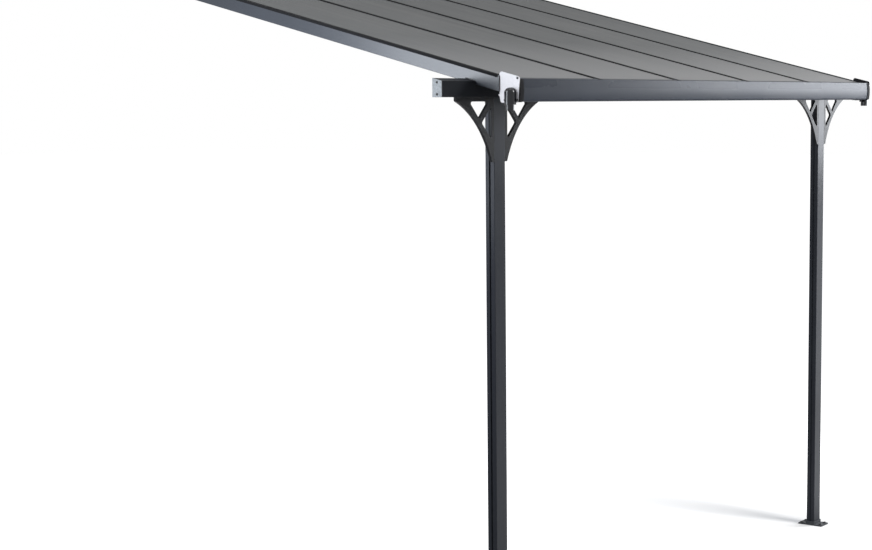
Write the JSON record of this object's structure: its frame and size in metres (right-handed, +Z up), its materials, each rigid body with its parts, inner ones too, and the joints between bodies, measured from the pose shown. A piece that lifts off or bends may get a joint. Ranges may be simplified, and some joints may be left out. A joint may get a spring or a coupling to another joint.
{
  "type": "patio cover",
  "caption": "Wall-mounted patio cover: a sloped roof of grey sheets in dark aluminium rafters, hung from a wall rail and carried by a front beam on posts with arched brackets, with a gutter.",
  "frame": {"origin": "middle of the wall rail's back face, level with the roof's hinge", "axes": "+X along the wall to the right seen from the garden, +Y into the wall, +Z up"},
  "size_m": [3.46, 2.9518, 2.9604],
  "materials": {
    "coated_aluminium": "dark grey powder coat, semi-gloss",
    "twin_wall_sheet": "grey twin-wall polycarbonate, fine ribs",
    "pale_aluminium": "satin silver anodised",
    "grey_cap": "matte grey",
    "black_rubber": "black rubber",
    "black_plastic": "matte black",
    "gloss_black_plastic": "gloss black"
  },
  "bodies": {
    "root": {"wall_rail": "coated_aluminium", "header_rail": "coated_aluminium", "gutter": "coated_aluminium", "front_beam": "coated_aluminium", "rafter_1": "coated_aluminium", "rafter_2": "coated_aluminium", "rafter_3": "coated_aluminium", "rafter_4": "coated_aluminium", "roof_panel_1": "twin_wall_sheet", "panel_edge_trim_1": "coated_aluminium", "roof_panel_2": "twin_wall_sheet", "panel_edge_trim_2": "coated_aluminium", "roof_panel_3": "twin_wall_sheet", "panel_edge_trim_3": "coated_aluminium", "roof_panel_4": "twin_wall_sheet", "panel_edge_trim_4": "coated_aluminium", "roof_panel_5": "twin_wall_sheet", "panel_edge_trim_5": "coated_aluminium", "rafter_saddle_1": "black_plastic", "rafter_saddle_2": "black_plastic", "rafter_saddle_3": "black_plastic", "rafter_saddle_4": "black_plastic", "rafter_saddle_5": "black_plastic", "rafter_saddle_6": "black_plastic", "wall_rail_cap_left": "black_plastic", "side_rafter_left": "coated_aluminium", "gutter_seal_left": "black_rubber", "gutter_end_plate_left": "pale_aluminium", "gutter_head_left": "gloss_black_plastic", "beam_end_cap_left": "grey_cap", "post_left": "coated_aluminium", "foot_left": "coated_aluminium", "bracket_left_outer": "coated_aluminium", "bracket_left_inner": "coated_aluminium", "wall_rail_cap_right": "black_plastic", "side_rafter_right": "coated_aluminium", "gutter_seal_right": "black_rubber", "gutter_end_plate_right": "pale_aluminium", "gutter_head_right": "gloss_black_plastic", "beam_end_cap_right": "grey_cap", "post_right": "coated_aluminium", "foot_right": "coated_aluminium", "bracket_right_outer": "coated_aluminium", "bracket_right_inner": "coated_aluminium"}
  },
  "joints": []
}
